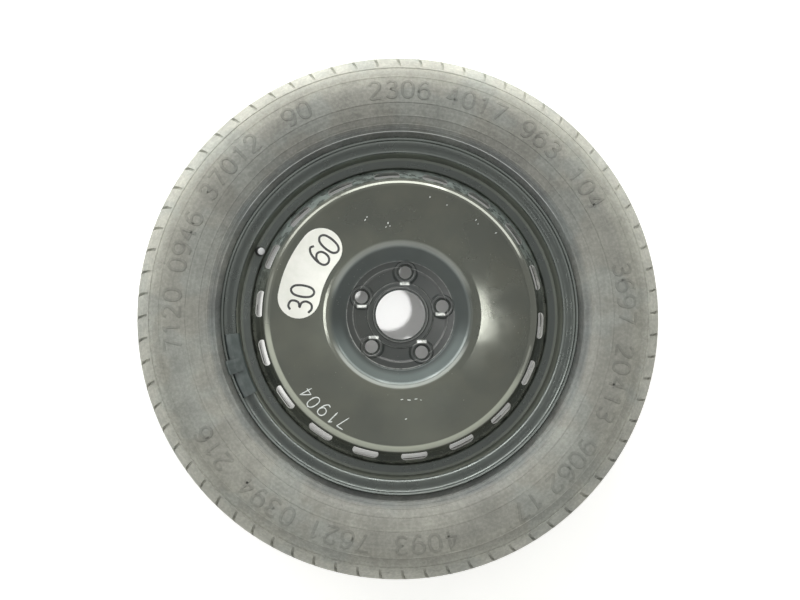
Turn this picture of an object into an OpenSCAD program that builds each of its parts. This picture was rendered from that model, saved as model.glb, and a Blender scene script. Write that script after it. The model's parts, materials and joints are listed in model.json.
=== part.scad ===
// Temporary-use spare wheel: a narrow tyre on a pressed-steel wheel, lying on its inboard side.
// The wheel's axis is Z and its outboard face looks up; z = 0 is the surface it lies on.

/* [Tyre] */
// Outside diameter of the tyre
tyre_d = 710.8; // [690:0.2:740]
// Section width of the tyre, at its widest
section_w = 155; // [145:1:165]
// Thickness of the sidewall
sidewall_t = 7; // [5:0.5:9]
// Thickness of rubber and belts under the tread
tread_t = 14; // [11:0.5:17]
// Width of the tread, shoulder to shoulder
tread_w = 104; // [96:1:112]
// Depth of the tread grooves
groove_depth = 6; // [3:0.5:8]
// Width of the tread grooves
groove_w = 6; // [4:0.5:8]

/* [Rim] */
// Bead seat diameter, at the heel
seat_d = 436.6; // [430:0.2:445]
// Width between the flanges
rim_w = 101.6; // [96:0.2:112]
// Height of the flange over the bead seat
flange_h = 18; // [16:0.5:21]
// Depth of the drop centre under the bead seat
well_depth = 15.5; // [14.5:0.5:18]
// Thickness of the rim sheet
rim_t = 2.3; // [2:0.1:2.6]

/* [Disc] */
// Thickness of the disc sheet
disc_t = 3.5; // [3:0.25:4.5]
// Offset of the hub mounting face from the middle of the wheel
offset = 42; // [36:1:46]
// Diameter of the centre bore
bore_d = 66.1; // [56:0.1:72.6]
// Diameter of the bolt circle
bolt_circle_d = 114.3; // [108:0.1:120]
// Diameter of a bolt hole
bolt_hole_d = 17; // [14:0.5:18]
// Number of bolt holes
bolt_count = 5; // [4:1:5]
// Number of vents
vent_count = 18; // [12:1:18]
// Length of a vent, round the disc
vent_l = 35; // [28:1:40]
// Width of a vent, across the disc
vent_w = 14.5; // [10:0.5:16]

/* [Valve] */
// Diameter of the valve hole in the rim
valve_hole_d = 11.5; // [11:0.1:12]
// Length of the rubber body outside the rim
valve_l = 17; // [14:1:22]
// Outside diameter of the cap
cap_d = 10; // [9.4:0.2:11]
// Travel of the core's pin
pin_travel = 1.2; // [0.8:0.1:1.5]

/* [Label and weight] */
// Width of the label, across the disc
label_w = 55; // [40:1:60]
// Thickness of the label
label_t = 0.3; // [0.2:0.05:0.5]
// Length of the balance weight, round the flange
weight_l = 84; // [40:1:110]

/* [Hidden] */

// Gap between two pieces that sit on one another
seat_gap = 0.05;
// Gap round a part that slides
slide_gap = 0.05;
// How far a cutting shape runs past what it cuts
past = 1;
// Largest turn between two neighbouring points of a rounded corner, in degrees
bend_step = 12;
// Direction, from +X, in which the valve, one bolt hole, one vent and the label lie
valve_a = 155.6;

// Height of the middle of the wheel over the surface it lies on
mid_z = section_w / 2;

// Plain vector helpers
function unit(v) = v / norm(v);
function spin(v, a) = [v.x * cos(a) - v.y * sin(a), v.x * sin(a) + v.y * cos(a)];
function turn_between(a, b) = atan2(a.x * b.y - a.y * b.x, a * b);
function flat(p) = [p.x, p.y];

// A corner is [radius, height, bend radius]; its arc runs between the two straight stretches
function bend(before, corner, after) =
    let (
        into = unit(flat(corner) - flat(before)),
        out = unit(flat(after) - flat(corner)),
        turn = turn_between(into, out),
        hand = sign(turn),
        start = flat(corner) - corner[2] * tan(abs(turn) / 2) * into,
        middle = start + hand * corner[2] * spin(into, 90),
        steps = max(1, ceil(abs(turn) / bend_step))
    )
    corner[2] == 0 || turn == 0 ? [flat(corner)] :
    [for (k = [0:steps]) middle + spin(start - middle, turn * k / steps)];

// An open outline with its corners rounded
function rounded(c) = [
    flat(c[0]),
    for (i = [1:len(c) - 2]) each bend(c[i - 1], c[i], c[i + 1]),
    flat(c[len(c) - 1])
];

// A closed outline with its corners rounded
function rounded_loop(c) = [
    for (i = [0:len(c) - 1]) each bend(c[(i + len(c) - 1) % len(c)], c[i], c[(i + 1) % len(c)])
];

// A path moved sideways, to its left for a positive distance
function left_of(a, b) = spin(unit(b - a), 90);
function joint_normal(p, i) =
    i == 0 ? left_of(p[0], p[1]) :
    i == len(p) - 1 ? left_of(p[i - 1], p[i]) :
    let (
        one = left_of(p[i - 1], p[i]),
        two = left_of(p[i], p[i + 1])
    )
    (one + two) / (1 + one * two);
function moved(p, d) = [for (i = [0:len(p) - 1]) p[i] + d * joint_normal(p, i)];
function reversed(p) = [for (i = [len(p) - 1:-1:0]) p[i]];

// The outline of a sheet between two distances from its middle line
function sheet(p, low, high) = concat(moved(p, low), reversed(moved(p, high)));
function mirrored(c) = [for (p = c) [p.x, -p.y, p[2]]];

// Rim: the middle line of the sheet, from the outboard lip to the inboard lip
seat_r = seat_d / 2;
flange_r = seat_r + flange_h;
half_w = rim_w / 2;
seat_taper = tan(5);
// Width of the bead seat
seat_w = 19;
// Height and width of the hump inside the bead seat
hump_h = 1.3;
hump_w = 6;
// Inner radius of the flange's curl, over the sheet's middle line
curl_r = 8;
// How far the curl reaches outboard of the flange's wall
curl_w = 9;
lip_drop = 2.5;
lip_w = 4;
well_r = seat_r - well_depth;
// How far the wall between the hump and the drop centre leans
wall_drop = 4;
// Where the drop centre starts and ends, from the middle of the wheel
well_top = half_w - seat_w - hump_w / 2 - wall_drop;
well_bottom = -9;
ledge_w = 20;

half_t = rim_t / 2;
seat_end_r = seat_r - seat_w * seat_taper;

flange_corners = [
    [flange_r - half_t - lip_drop, half_w + half_t + curl_w + lip_w, 0],
    [flange_r - half_t, half_w + half_t + curl_w, 2.5],
    [flange_r - half_t, half_w + half_t, curl_r],
    [seat_r - half_t, half_w + half_t, 6.5],
    [seat_end_r - half_t, half_w - seat_w, 2],
    [seat_end_r + hump_h - half_t, half_w - seat_w - hump_w / 2, 1.6],
    [seat_end_r - half_t, half_w - seat_w - hump_w, 3]
];
outboard_corners = [for (i = [0:5]) flange_corners[i]];
wall_top = flat(flange_corners[5]);
wall_foot = [well_r - half_t, well_top];
rim_corners = concat(
    outboard_corners,
    [
        [wall_foot.x, wall_foot.y, 2.2],
        [well_r - half_t, well_bottom, 8],
        [seat_end_r - half_t, -ledge_w, 6]
    ],
    reversed(mirrored(flange_corners))
);

module rim() {
    color("#2b2d2e")
    difference() {
        translate([0, 0, mid_z])
            rotate_extrude($fn = 240)
                polygon(sheet(rounded(rim_corners), -half_t, half_t));
        on_valve()
            translate([0, 0, -valve_reach])
                cylinder(d = valve_hole_d, h = 2 * valve_reach, $fn = 48);
    }
}

// Disc: the middle line of the sheet, from the bore to the flange that is welded into the rim
disc_r = well_r - rim_t - seat_gap;
hub_front = offset + disc_t;
hub_mid = offset + disc_t / 2;
bolt_r = bolt_circle_d / 2;
// The plate steps up to a ring outside the bolt circle, between these two radii
ring_foot = bolt_r + 4;
ring_start = bolt_r + 6.5;
ring_rise = 2;
// Where the recess round the hub starts to rise, and where the raised annulus starts
recess_r = bolt_r + 16.5;
lip_r = recess_r + 21.5;
shoulder_r = disc_r - 22;
// Heights of the annulus over the hub's plate, at its inner edge, crown and shoulder
lip_rise = 20;
crown_rise = 22.6;
shoulder_rise = 20;
// The welded flange's outboard end lies just under the top of the drop centre
flange_top = well_top - 0.8;
flange_foot = 2;

disc_corners = [
    [bore_d / 2 - 4, hub_mid, 0],
    [ring_foot, hub_mid, 2.5],
    [ring_start, hub_mid + ring_rise, 2.5],
    [recess_r, hub_mid + ring_rise, 5],
    [lip_r, hub_mid + lip_rise, 20],
    [(lip_r + shoulder_r) / 2, hub_mid + crown_rise, 500],
    [shoulder_r, hub_mid + shoulder_rise, 14],
    [disc_r - disc_t / 2, flange_top, 6],
    [disc_r - disc_t / 2, flange_foot, 0]
];
disc_line = rounded(disc_corners);

// The vents lie on the slope between the shoulder and the welded flange
vent_edge = 3.5;
vent_r = disc_r - disc_t - vent_edge - vent_w / 2;
vent_h = 60;

// Bolt seats: cones in pressed bosses, with a rounded mouth
seat_half_angle = 30;
hole_r = bolt_hole_d / 2;
seat_top_r = hole_r + 3.1;
boss_top_r = seat_top_r + 2.4;
boss_r = boss_top_r + 3.4;
boss_h = 4;
// How deep what is pressed up from the plate is sunk into it
sunk = 0.5;
// The stepped ring round the bore
bore_r = bore_d / 2;
bore_step_h = 2.8;
bore_ring_h = 5.2;
bore_chamfer = 1;

module round_the(count, radius) {
    for (i = [0:count - 1])
        rotate([0, 0, valve_a + i * 360 / count])
            translate([radius, 0, 0])
                children();
}

module vent() {
    reach = vent_l / 2 - vent_w / 2;
    for (side = [-1, 1])
        translate([0, side * reach, 0])
            cylinder(d = vent_w, h = vent_h, $fn = 48);
    translate([-vent_w / 2, -reach, 0])
        cube([vent_w, 2 * reach, vent_h]);
}

module bolt_boss() {
    rotate_extrude($fn = 72)
        polygon(rounded_loop([
            [hole_r - past, -sunk, 0],
            [boss_r, -sunk, 0],
            [boss_r, 0, 0],
            [boss_top_r, boss_h, 1.5],
            [hole_r - past, boss_h, 0]
        ]));
}

module bolt_seat() {
    seat_h = (seat_top_r - hole_r) / tan(seat_half_angle);
    rotate_extrude($fn = 72)
        polygon(concat(
            rounded([
                [hole_r, -disc_t - past, 0],
                [hole_r, boss_h - seat_h, 0],
                [seat_top_r, boss_h - 0.05, 3],
                [boss_top_r, boss_h + 0.15, 0]
            ]),
            [[boss_top_r, boss_h + past], [0, boss_h + past], [0, -disc_t - past]]
        ));
}

module bore_ring() {
    rotate_extrude($fn = 240)
        polygon(rounded_loop([
            [bore_r - past, -sunk, 0],
            [bore_r + 12, -sunk, 0],
            [bore_r + 12, 0, 0],
            [bore_r + 9.5, bore_step_h, 1.5],
            [bore_r + 5, bore_step_h, 1],
            [bore_r + 4, bore_ring_h, 1],
            [bore_r - past, bore_ring_h, 0]
        ]));
}

module bore_cut() {
    rotate_extrude($fn = 240)
        polygon([
            [0, -disc_t - past],
            [bore_r, -disc_t - past],
            [bore_r, bore_ring_h - bore_chamfer],
            [bore_r + bore_chamfer + past, bore_ring_h + past],
            [0, bore_ring_h + past]
        ]);
}

module disc() {
    color("#2f3132")
    translate([0, 0, mid_z])
        difference() {
            union() {
                rotate_extrude($fn = 240)
                    polygon(sheet(disc_line, -disc_t / 2, disc_t / 2));
                translate([0, 0, hub_front]) {
                    bore_ring();
                    round_the(bolt_count, bolt_r)
                        bolt_boss();
                }
            }
            translate([0, 0, hub_front]) {
                bore_cut();
                round_the(bolt_count, bolt_r)
                    bolt_seat();
            }
            round_the(vent_count, vent_r)
                vent();
        }
}

// Four arc welds between the foot of the disc's flange and the drop centre
weld_count = 4;
weld_angle = 50;
weld_size = 4;

module weld_seams() {
    color("#3a3c3d")
    for (i = [0:weld_count - 1])
        rotate([0, 0, valve_a + 45 + i * 360 / weld_count - weld_angle / 2])
            translate([0, 0, mid_z + flange_foot])
                rotate_extrude(angle = weld_angle, $fn = 240)
                    polygon([
                        [well_r - rim_t - seat_gap, -seat_gap],
                        [well_r - rim_t - weld_size, -seat_gap],
                        [well_r - rim_t - weld_size * 0.55, -weld_size * 0.7],
                        [well_r - rim_t - seat_gap, -weld_size]
                    ]);
}

// Tyre: the outer line runs from the toe of the bead over the sidewall to the middle of the tread
tyre_r = tyre_d / 2;
crown_arc = 130;
function crown_drop(w) = w * w / (2 * crown_arc);
function crown_slope(w) = w / crown_arc;
shoulder_w = tread_w / 2 + 6;
half_s = section_w / 2;
section_h = tyre_r - seat_r;
toe_w = half_w - seat_w + 1.5;
function seat_at(w) = seat_r - (half_w - w) * seat_taper + seat_gap;
tread_end = tread_w / 2 - 6;
shoulder_corner_r = tyre_r - crown_drop(tread_end) - (shoulder_w - tread_end) * crown_slope(tread_end);

outer_corners = [
    [seat_at(toe_w) + 6, toe_w, 0],
    [seat_at(toe_w), toe_w, 1.5],
    [seat_at(half_w), half_w - seat_gap, 8],
    [flange_r - 5, half_w - seat_gap, 4],
    [seat_r + 0.34 * section_h, half_s, 60],
    [seat_r + 0.72 * section_h, half_s, 60],
    [shoulder_corner_r, shoulder_w, 18],
    [tyre_r - crown_drop(tread_end), tread_end, 0]
];
inner_corners = [
    [seat_at(toe_w) + 6, toe_w, 0],
    [seat_r + 11, half_w - 12, 10],
    [seat_r + 0.37 * section_h, half_s - sidewall_t, 52],
    [seat_r + 0.68 * section_h, half_s - sidewall_t, 40],
    [tyre_r - tread_t - crown_drop(tread_end) - 1, shoulder_w - 10, 16],
    [tyre_r - tread_t - crown_drop(tread_end) + 2, tread_end - 12, 0]
];
crown_steps = 4;
crown_outer = [
    for (k = [1:crown_steps])
        let (w = tread_end * (1 - k / crown_steps))
        [tyre_r - crown_drop(w), w]
];
crown_inner = [
    for (k = [1:crown_steps])
        let (w = (tread_end - 12) * (1 - k / crown_steps))
        [tyre_r - tread_t - crown_drop(w), w]
];
half_outer = concat(rounded(outer_corners), crown_outer);
half_inner = concat(rounded(inner_corners), crown_inner);
function other_half(p) = [for (i = [len(p) - 2:-1:0]) [p[i].x, -p[i].y]];
function without_ends(p) = [for (i = [1:len(p) - 2]) p[i]];
tyre_outline = concat(
    half_outer,
    other_half(half_outer),
    reversed(without_ends(concat(half_inner, other_half(half_inner))))
);

// Grooves that run round the tread
rib_pitch = tread_w * 0.2115;
groove_at = [for (k = [-1.5:1:1.5]) k * rib_pitch];

module tyre() {
    color("#4a4b4a")
    translate([0, 0, mid_z])
        rotate_extrude($fn = 240)
            difference() {
                polygon(tyre_outline);
                for (w = groove_at)
                    translate([tyre_r - crown_drop(w) - groove_depth, w - groove_w / 2])
                        square([groove_depth + past, groove_w]);
            }
}

// The valve stands on the wall between the hump and the drop centre, square to the sheet
wall_lean = atan2(wall_top.y - wall_foot.y, wall_top.x - wall_foot.x);
valve_shift = 0.1;
valve_seat = (wall_top + wall_foot) / 2 + valve_shift * unit(wall_foot - wall_top);
valve_reach = 12;

// Puts its children in the valve's own frame: z = 0 on the hub side of the rim's wall
module on_valve() {
    rotate([0, 0, valve_a])
        translate([valve_seat.x, 0, mid_z + valve_seat.y])
            rotate([0, -wall_lean, 0])
                translate([0, 0, half_t])
                    children();
}

stem_r = 3.85;
stem_sleeve_r = 3.4;
stem_top = valve_l + 9;
stem_foot = -rim_t - 4;
core_r = 2.6;
duct_r = 2.2;
core_seat = stem_top - 14;
base_r = valve_hole_d / 2 + 0.65;
collar_r = valve_hole_d / 2 + 0.45;
body_r = collar_r - 0.2;

module turned(outline) {
    rotate_extrude($fn = 96)
        polygon(outline);
}

module valve_body() {
    neck = valve_hole_d / 2 - seat_gap;
    color("#202020")
    on_valve()
        turned(rounded_loop([
            [stem_sleeve_r + seat_gap, stem_foot + 1, 0],
            [base_r - 1, stem_foot, 1],
            [base_r, -rim_t - 2, 1],
            [collar_r - 0.4, -rim_t - seat_gap, 0],
            [neck, -rim_t - seat_gap, 0],
            [neck, seat_gap, 0],
            [collar_r, seat_gap, 0],
            [collar_r, 2.5, 1],
            [body_r, 4, 2],
            [body_r, 9, 3],
            [5.4, valve_l, 1],
            [stem_sleeve_r + seat_gap, valve_l, 0]
        ]));
}

module valve_stem() {
    color("#b08d45")
    on_valve()
        turned([
            [duct_r, stem_foot],
            [stem_sleeve_r, stem_foot],
            [stem_sleeve_r, valve_l + seat_gap],
            [stem_r, valve_l + seat_gap],
            [stem_r, stem_top - 0.5],
            [stem_r - 0.5, stem_top],
            [core_r + slide_gap, stem_top],
            [core_r + slide_gap, core_seat],
            [duct_r, core_seat - 1]
        ]);
}

// Valve core, from the stem's mouth inwards
plug_l = 4.2;
plug_top = stem_top - 0.8;
plug_foot = plug_top - plug_l;
barrel_r = 1.9;
barrel_bore_r = 1.15;
barrel_foot = plug_foot - 8.8 - pin_travel;
pin_r = 0.5;
pin_top = plug_top + 0.3;
pin_foot = barrel_foot - 3.5;
neck_r = pin_r + slide_gap;
neck_l = 1;
seal_l = 2.4;
seal_top = plug_foot - 2;

module core_plug() {
    color("#b08d45")
    on_valve()
        difference() {
            translate([0, 0, plug_foot + seat_gap])
                cylinder(r = core_r, h = plug_l - seat_gap, $fn = 48);
            translate([0, 0, plug_foot - past])
                cylinder(r = neck_r + 0.02, h = plug_l + 2 * past, $fn = 48);
            for (side = [-1, 1])
                translate([side * 1.9, 0, plug_foot + 2.6])
                    translate([-0.6, -core_r, 0])
                        cube([1.2, 2 * core_r, plug_l]);
        }
}

module core_barrel() {
    color("#c3a257")
    on_valve()
        turned([
            [neck_r, barrel_foot],
            [barrel_r, barrel_foot],
            [barrel_r, plug_foot],
            [barrel_bore_r, plug_foot],
            [barrel_bore_r, barrel_foot + neck_l],
            [neck_r, barrel_foot + neck_l]
        ]);
}

module barrel_seal() {
    color("#d8d4c8")
    on_valve()
        turned([
            [barrel_r + seat_gap, seal_top - seal_l],
            [core_r - 0.3, seal_top - seal_l],
            [core_r, seal_top - seal_l / 2],
            [core_r, seal_top],
            [barrel_r + seat_gap, seal_top]
        ]);
}

module core_pin() {
    color("#c9b26a")
    on_valve() {
        translate([0, 0, pin_foot])
            cylinder(r = pin_r, h = pin_top - pin_foot, $fn = 48);
        translate([0, 0, plug_foot - 1.2])
            cylinder(r = barrel_bore_r - slide_gap, h = 0.8, $fn = 48);
    }
}

cup_r = 1.8;
gasket_t = 0.8;

module core_cup() {
    color("#b08d45")
    on_valve()
        turned([
            [pin_r + seat_gap, barrel_foot - gasket_t - 1.4],
            [cup_r - 0.4, barrel_foot - gasket_t - 1.4],
            [cup_r, barrel_foot - gasket_t - 1],
            [cup_r, barrel_foot - 0.25],
            [cup_r - 0.25, barrel_foot - 0.25],
            [cup_r - 0.25, barrel_foot - gasket_t],
            [pin_r + seat_gap, barrel_foot - gasket_t]
        ]);
}

module cup_gasket() {
    color("#1c1c1c")
    on_valve()
        turned([
            [pin_r + seat_gap, barrel_foot - gasket_t + seat_gap],
            [cup_r - 0.25 - seat_gap, barrel_foot - gasket_t + seat_gap],
            [cup_r - 0.25 - seat_gap, barrel_foot - seat_gap],
            [pin_r + seat_gap, barrel_foot - seat_gap]
        ]);
}

// The spring stands on the barrel's neck and presses the pin's collar outwards
spring_wire_r = 0.14;
spring_r = (pin_r + barrel_bore_r) / 2;
spring_foot = barrel_foot + neck_l + spring_wire_r + 0.02;
spring_top = plug_foot - 1.2 - spring_wire_r - 0.02;
spring_turns = 7;
spring_rings = 14;
spring_sides = 6;

function spring_ring(k) =
    let (
        a = 360 * k / spring_rings,
        z = spring_foot + (spring_top - spring_foot) * k / (spring_turns * spring_rings)
    )
    [
        for (s = [0:spring_sides - 1])
            let (b = 360 * s / spring_sides, r = spring_r + spring_wire_r * cos(b))
            [r * cos(a), r * sin(a), z + spring_wire_r * sin(b)]
    ];

module core_spring() {
    last = spring_turns * spring_rings;
    points = [for (k = [0:last]) each spring_ring(k)];
    function at(k, s) = k * spring_sides + s % spring_sides;
    color("#c8c8c8")
    on_valve()
        polyhedron(points, concat(
            [[for (s = [0:spring_sides - 1]) at(0, s)]],
            [[for (s = [spring_sides - 1:-1:0]) at(last, s)]],
            [
                for (k = [0:last - 1], s = [0:spring_sides - 1])
                    each [
                        [at(k, s), at(k + 1, s), at(k + 1, s + 1)],
                        [at(k, s), at(k + 1, s + 1), at(k, s + 1)]
                    ]
            ]
        ));
}

// Cap: a moulded sleeve with grip ribs, screwed over the stem's end
cap_foot = valve_l + 0.6;
cap_top = stem_top + 2.2;
cap_rib_count = 16;
cap_rib_r = 0.5;

module valve_cap() {
    color("#1e1e1e")
    on_valve() {
        turned(rounded_loop([
            [stem_r + 0.1, cap_foot, 0],
            [cap_d / 2, cap_foot, 0.4],
            [cap_d / 2 - 0.3, cap_top, 1.4],
            [0, cap_top, 0],
            [0, stem_top + 0.7, 0],
            [stem_r + 0.1, stem_top + 0.7, 0]
        ]));
        for (i = [0:cap_rib_count - 1])
            rotate([0, 0, i * 360 / cap_rib_count])
                translate([cap_d / 2 - 0.35, 0, cap_foot + 1])
                    cylinder(r = cap_rib_r, h = cap_top - cap_foot - 3.4, $fn = 24);
    }
}

// Balance weight: hooked under the outboard lip, clockwise of the valve
weight_a = 197.3;
lip_under = flange_r - rim_t;
weight_r1 = lip_under - 21.5;
weight_span = weight_l / ((weight_r1 + flange_r) / 2) * 180 / PI;
clip_span = 4.6;
clip_t = 1.2;
wall_front = half_w + rim_t;

module round_the_flange(middle, span) {
    rotate([0, 0, middle - span / 2])
        translate([0, 0, mid_z])
            rotate_extrude(angle = span, $fn = 240)
                children();
}

weight_corners = [
    [weight_r1, wall_front + 0.1, 1.5],
    [lip_under - 0.3, wall_front + 0.1, curl_r - half_t - 0.6],
    [lip_under - 0.5, wall_front + 6.8, 0.4],
    [lip_under - 4, wall_front + 9.5, 1.5],
    [lip_under - 11, wall_front + 12.5, 4],
    [weight_r1, wall_front + 9.5, 4]
];

module balance_weight() {
    color("#777a7c")
    round_the_flange(weight_a, weight_span)
        polygon(rounded_loop(weight_corners));
}

// The clip hooks over the lip and lies on the face of the weight
clip_corners = [
    [flange_r + 0.1 + clip_t / 2, half_w + half_t + 5.5, 0],
    [flange_r + 0.1 + clip_t / 2, half_w + half_t + curl_w + 1, 3.2],
    [lip_under + 0.4, wall_front + curl_w + lip_w + 1.1, 3],
    [lip_under - 11.2, wall_front + 13.3, 4],
    [weight_r1 + 4, wall_front + 11.4, 0]
];

module weight_clip() {
    color("#6d6f70")
    round_the_flange(weight_a, clip_span)
        polygon(sheet(rounded(clip_corners), -clip_t / 2, clip_t / 2));
}

// Label: follows the annulus; its ends are round
label_r = (lip_r + shoulder_r) / 2 - 1.8;
label_span = 30;
label_steps = 8;

function arc_points(middle, radius, from, to, steps) = [
    for (k = [0:steps])
        let (a = from + (to - from) * k / steps)
        middle + radius * [cos(a), sin(a)]
];
label_outline = concat(
    arc_points([0, 0], label_r + label_w / 2, -label_span / 2, label_span / 2, label_steps),
    without_ends(arc_points(
        label_r * [cos(label_span / 2), sin(label_span / 2)],
        label_w / 2, label_span / 2, label_span / 2 + 180, 2 * label_steps
    )),
    arc_points([0, 0], label_r - label_w / 2, label_span / 2, -label_span / 2, label_steps),
    without_ends(arc_points(
        label_r * [cos(-label_span / 2), sin(-label_span / 2)],
        label_w / 2, 180 - label_span / 2, 360 - label_span / 2, 2 * label_steps
    ))
);

module label() {
    color("#e4e4dc")
    intersection() {
        translate([0, 0, mid_z])
            rotate_extrude($fn = 240)
                polygon(sheet(disc_line, disc_t / 2 + seat_gap, disc_t / 2 + seat_gap + label_t));
        rotate([0, 0, valve_a])
            translate([0, 0, mid_z + offset])
                linear_extrude(60)
                    polygon(label_outline);
    }
}

tyre();
rim();
disc();
weld_seams();
valve_body();
valve_stem();
core_plug();
core_barrel();
barrel_seal();
core_pin();
core_cup();
cup_gasket();
core_spring();
valve_cap();
balance_weight();
weight_clip();
label();
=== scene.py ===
import json
import math
import random

import bpy
import numpy as np
from mathutils import Matrix, Vector
from mathutils.bvhtree import BVHTree


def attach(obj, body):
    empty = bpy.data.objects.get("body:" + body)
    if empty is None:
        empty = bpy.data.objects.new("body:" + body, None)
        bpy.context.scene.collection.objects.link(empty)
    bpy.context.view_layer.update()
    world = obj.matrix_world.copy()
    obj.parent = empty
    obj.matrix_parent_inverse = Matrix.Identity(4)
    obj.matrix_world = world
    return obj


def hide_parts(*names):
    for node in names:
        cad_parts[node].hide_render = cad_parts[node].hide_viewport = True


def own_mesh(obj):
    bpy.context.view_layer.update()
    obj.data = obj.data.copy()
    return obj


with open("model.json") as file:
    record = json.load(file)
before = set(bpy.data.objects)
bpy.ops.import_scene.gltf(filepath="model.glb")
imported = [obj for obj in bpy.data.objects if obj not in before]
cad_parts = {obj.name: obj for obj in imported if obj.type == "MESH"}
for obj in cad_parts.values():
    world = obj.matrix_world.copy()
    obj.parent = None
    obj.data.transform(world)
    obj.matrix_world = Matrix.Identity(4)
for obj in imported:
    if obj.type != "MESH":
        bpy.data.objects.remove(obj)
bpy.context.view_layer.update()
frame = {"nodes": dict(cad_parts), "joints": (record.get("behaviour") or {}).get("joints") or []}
nodes = frame["nodes"]
scene = bpy.context.scene
MM = 0.001
MID_Z = 77.5


# Materials

class Nodes:
    """A small helper that adds shader nodes and joins them."""

    def __init__(self, name, base, roughness, **sockets):
        self.mat = bpy.data.materials.new(name)
        self.mat.use_nodes = True
        self.tree = self.mat.node_tree
        self.shader = self.tree.nodes["Principled BSDF"]
        self.shader.inputs["Base Color"].default_value = (*base, 1)
        self.shader.inputs["Roughness"].default_value = roughness
        for key, value in sockets.items():
            self.shader.inputs[key.replace("_", " ")].default_value = value
        self.coords = self.add("ShaderNodeTexCoord").outputs["Object"]

    def add(self, kind, **settings):
        node = self.tree.nodes.new(kind)
        for key, value in settings.items():
            setattr(node, key, value)
        return node

    def join(self, output, socket):
        self.tree.links.new(output, socket)

    def noise(self, scale, detail=3.0, roughness=0.5):
        node = self.add("ShaderNodeTexNoise")
        node.inputs["Scale"].default_value = scale
        node.inputs["Detail"].default_value = detail
        node.inputs["Roughness"].default_value = roughness
        self.join(self.coords, node.inputs["Vector"])
        return node.outputs["Fac"]

    def rings(self, r, scale):
        """Noise that changes with the radius only."""
        node = self.add("ShaderNodeTexNoise", noise_dimensions="1D")
        node.inputs["Scale"].default_value = scale
        node.inputs["Detail"].default_value = 2
        self.join(r, node.inputs["W"])
        return node.outputs["Fac"]

    def cells(self, scale):
        node = self.add("ShaderNodeTexVoronoi")
        node.inputs["Scale"].default_value = scale
        self.join(self.coords, node.inputs["Vector"])
        return node.outputs["Distance"]

    def ramp(self, value, low, high, to_low=0.0, to_high=1.0):
        """A smooth step from to_low to to_high while value goes from low to high."""
        node = self.add("ShaderNodeMapRange", interpolation_type="SMOOTHSTEP")
        node.inputs["From Min"].default_value = low
        node.inputs["From Max"].default_value = high
        node.inputs["To Min"].default_value = to_low
        node.inputs["To Max"].default_value = to_high
        self.join(value, node.inputs["Value"])
        return node.outputs["Result"]

    def band(self, value, low, high, soft):
        """1 where value lies between low and high, with soft edges."""
        up = self.ramp(value, low - soft, low + soft)
        return self.times(up, self.ramp(value, high - soft, high + soft, 1.0, 0.0))

    def maths(self, kind, a, b=None):
        node = self.add("ShaderNodeMath", operation=kind)
        for value, socket in ((a, node.inputs[0]), (b, node.inputs[1])):
            if isinstance(value, (int, float)):
                socket.default_value = value
            elif value is not None:
                self.join(value, socket)
        return node.outputs["Value"]

    def times(self, result, *others):
        """The product of outputs and numbers."""
        for other in others:
            result = self.maths("MULTIPLY", result, other)
        return result

    def plus(self, result, *others):
        """The sum of outputs and numbers."""
        for other in others:
            result = self.maths("ADD", result, other)
        return result

    def mix(self, factor, a, b):
        node = self.add("ShaderNodeMix", data_type="RGBA")
        for value, name in ((factor, "Factor_Float"), (a, "A_Color"), (b, "B_Color")):
            socket = next(s for s in node.inputs if s.identifier == name)
            if isinstance(value, tuple):
                socket.default_value = (*value, 1)
            elif isinstance(value, float):
                socket.default_value = value
            else:
                self.join(value, socket)
        return next(s for s in node.outputs if s.identifier == "Result_Color")

    def scaled(self, colour, level):
        """A colour times a number."""
        node = self.add("ShaderNodeVectorMath", operation="SCALE")
        self.join(colour, node.inputs[0])
        self.join(level, node.inputs["Scale"])
        return node.outputs["Vector"]

    def position(self):
        node = self.add("ShaderNodeSeparateXYZ")
        self.join(self.coords, node.inputs["Vector"])
        return node.outputs["X"], node.outputs["Y"], node.outputs["Z"]

    def radius(self):
        """Distance from the wheel's axis, in metres."""
        x, y, _ = self.position()
        return self.maths("SQRT", self.plus(self.times(x, x), self.times(y, y)))

    def bump(self, height, distance, strength=1.0):
        node = self.add("ShaderNodeBump")
        node.inputs["Strength"].default_value = strength
        node.inputs["Distance"].default_value = distance
        self.join(height, node.inputs["Height"])
        self.join(node.outputs["Normal"], self.shader.inputs["Normal"])

    def colour(self, value):
        self.join(value, self.shader.inputs["Base Color"])

    def rough(self, value):
        self.join(value, self.shader.inputs["Roughness"])


# Colours of the tyre, from the bead outwards, with painted shade at the bead, and of what lies on it, with a
# painted highlight on a rib
BEAD_SHADE, TREAD_WORN = (0.15, 0.16, 0.152), (0.22, 0.22, 0.2)
SIDE_INNER, SIDE_MIDDLE, SIDE_OUTER = (0.246, 0.247, 0.218), (0.214, 0.215, 0.186), (0.27, 0.271, 0.23)
SHOULDER_DUST = (0.52, 0.523, 0.455)
FADED_PATCH, BLUE_PATCH, SMUDGE = (0.36, 0.36, 0.31), (0.26, 0.295, 0.28), (0.14, 0.14, 0.13)
RIB_HIGHLIGHT = (0.7, 0.73, 0.7)


def tyre_tones(m, r, z):
    """The tyre's plain colour by radius, in metres, with painted shade next to the flange. Across the tread
    itself the dust is worn off.
    """
    side = m.mix(m.ramp(r, 0.256, 0.27), SIDE_INNER, SIDE_MIDDLE)
    side = m.mix(m.ramp(r, 0.296, 0.308), side, SIDE_OUTER)
    shoulder = m.mix(m.ramp(r, 0.312, 0.338), side, SHOULDER_DUST)
    off_middle = m.maths("ABSOLUTE", m.maths("SUBTRACT", z, MID_Z * MM))
    tread = m.times(m.ramp(off_middle, 0.037, 0.045, 1.0, 0.0), m.ramp(r, 0.33, 0.335))
    # Painted shade: the bead next to the flange is darker
    return m.mix(m.ramp(r, 0.2475, 0.2535), BEAD_SHADE, m.mix(tread, shoulder, TREAD_WORN))


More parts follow.
